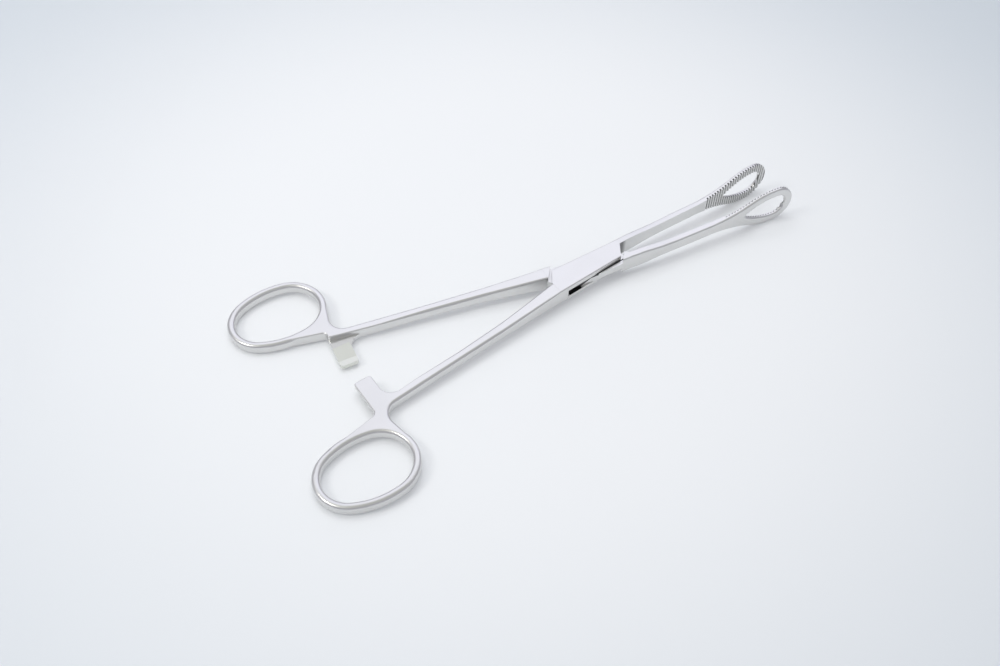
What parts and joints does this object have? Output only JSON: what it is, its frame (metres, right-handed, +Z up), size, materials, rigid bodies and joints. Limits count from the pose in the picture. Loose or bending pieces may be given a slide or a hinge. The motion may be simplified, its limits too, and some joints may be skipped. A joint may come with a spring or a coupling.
{
  "type": "piercing forceps",
  "caption": "Steel forceps with finger rings, ratchet tabs, a box lock and slim jaws that end in serrated oval loops, standing part way open.",
  "frame": {"origin": "on the pin axis, at the flat underside of the box lock", "axes": "+X towards the jaws' tips, +Z up along the pin axis, +Y towards the ring of the tongue half"},
  "size_m": [0.1801, 0.084, 0.0136],
  "materials": {
    "steel": "satin",
    "pin_steel": "satin"
  },
  "bodies": {
    "box_side": {"box_half": "steel", "pivot_pin": "pin_steel"},
    "tongue_side": {"tongue_half": "steel"}
  },
  "joints": [
    {"name": "pivot", "type": "hinge", "parent": "box_side", "child": "tongue_side", "pos_m": [0, 0, 0], "axis": [0, 0, 1], "range_deg": [-36, 9.2]}
  ]
}
